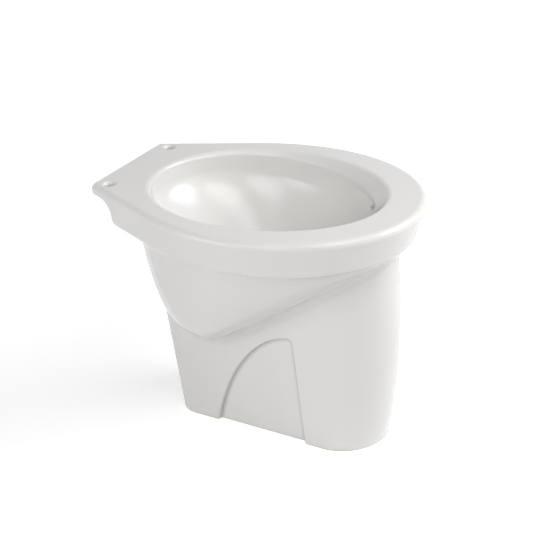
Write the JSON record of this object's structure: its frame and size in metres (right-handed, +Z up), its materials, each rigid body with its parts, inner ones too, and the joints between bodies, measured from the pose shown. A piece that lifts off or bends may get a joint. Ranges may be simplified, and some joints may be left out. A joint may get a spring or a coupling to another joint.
{
  "type": "toilet pan",
  "caption": "Floor-standing washdown toilet pan of white glazed china with an oval flushing rim, flat seat deck, deep bowl, arched pedestal, trap, floor outlet and rear flush inlet.",
  "frame": {"origin": "on the floor, midway along and across the pan", "axes": "+X across the pan, +Y from the front of the rim towards the wall behind it, +Z up from the floor"},
  "size_m": [0.362, 0.5065, 0.39],
  "materials": {
    "white_china": "gloss glaze",
    "black_rubber": "matt"
  },
  "bodies": {
    "root": {"rim_ring": "white_china", "flush_channel_floor": "white_china", "bowl": "white_china", "pedestal_shell": "white_china", "trapway": "white_china", "outlet_spigot": "white_china", "inlet_horn": "white_china", "outlet_seal": "black_rubber", "flush_pipe_seal": "black_rubber"}
  },
  "joints": []
}
